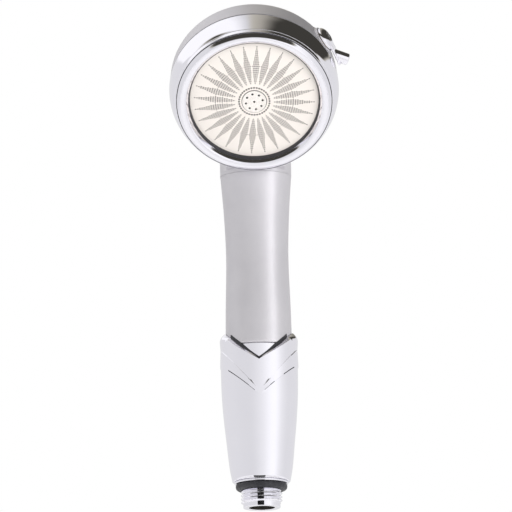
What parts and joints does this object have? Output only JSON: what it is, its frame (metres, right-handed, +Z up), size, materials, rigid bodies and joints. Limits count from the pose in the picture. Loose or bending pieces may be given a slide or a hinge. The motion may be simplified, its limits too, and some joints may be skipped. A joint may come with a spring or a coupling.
{
  "type": "handheld shower head",
  "caption": "Handheld shower head with a tilted round spray face, waisted satin handle, chrome lower sleeve with a V crown, side lever and threaded inlet.",
  "frame": {"origin": "centre of the threaded inlet's end face", "axes": "+Z up the handle towards the head; the spray face looks towards -Y and 40 degrees down; +X is the lever's side"},
  "size_m": [0.0912, 0.095, 0.2481],
  "materials": {
    "chrome": "mirror chrome plating",
    "satin_metal": "fine satin",
    "spray_plate": "satin, finely perforated",
    "grey_nozzle": "matte grey",
    "black_rubber": "black rubber",
    "white_plastic": "moulded",
    "clear_plastic": "clear",
    "filter_felt": "pressed fibre",
    "stainless_steel": "bright",
    "brass": "machined"
  },
  "bodies": {
    "shower": {"inlet_nipple": "chrome", "nipple_o_ring": "black_rubber", "inlet_rubber_ring": "black_rubber", "flow_regulator": "white_plastic", "check_valve_cage": "white_plastic", "check_valve_spring": "stainless_steel", "lower_sleeve": "chrome", "filter_lower_cap": "white_plastic", "filter_upper_cap": "white_plastic", "filter_tube": "clear_plastic", "filter_media": "filter_felt", "filter_screen": "stainless_steel", "filter_gasket": "black_rubber", "inner_coupling": "chrome", "coupling_o_ring": "black_rubber", "tube_foot_o_ring": "black_rubber", "handle_tube": "satin_metal", "water_pipe": "white_plastic", "neck_o_ring": "black_rubber", "head_back_shell": "satin_metal", "seam_seal": "black_rubber", "front_housing": "chrome", "water_distributor": "white_plastic", "plate_gasket": "black_rubber", "spray_plate": "spray_plate", "centre_nozzle": "grey_nozzle", "face_ring": "chrome", "diverter_body": "white_plastic", "diverter_screws": "stainless_steel", "detent_ball": "stainless_steel", "detent_spring": "stainless_steel"},
    "selector": {"selector_spool": "brass", "spool_o_rings": "black_rubber", "selector_lever": "chrome", "lever_pin": "chrome", "lever_screw": "stainless_steel"},
    "poppet": {"check_valve_poppet": "white_plastic", "poppet_seal": "black_rubber"}
  },
  "joints": [
    {"name": "selector_turn", "type": "hinge", "parent": "shower", "child": "selector", "pos_m": [0, -0.03284, 0.21253], "axis": [0.8387, -0.3501, 0.4172], "range_deg": [-30, 30]},
    {"name": "poppet_lift", "type": "slide", "parent": "shower", "child": "poppet", "axis": [0, 0, 1], "range_m": [0, 0.0025], "stiffness_N_per_m": 60, "springref_m": -0.002, "deforming": ["check_valve_spring"]}
  ]
}
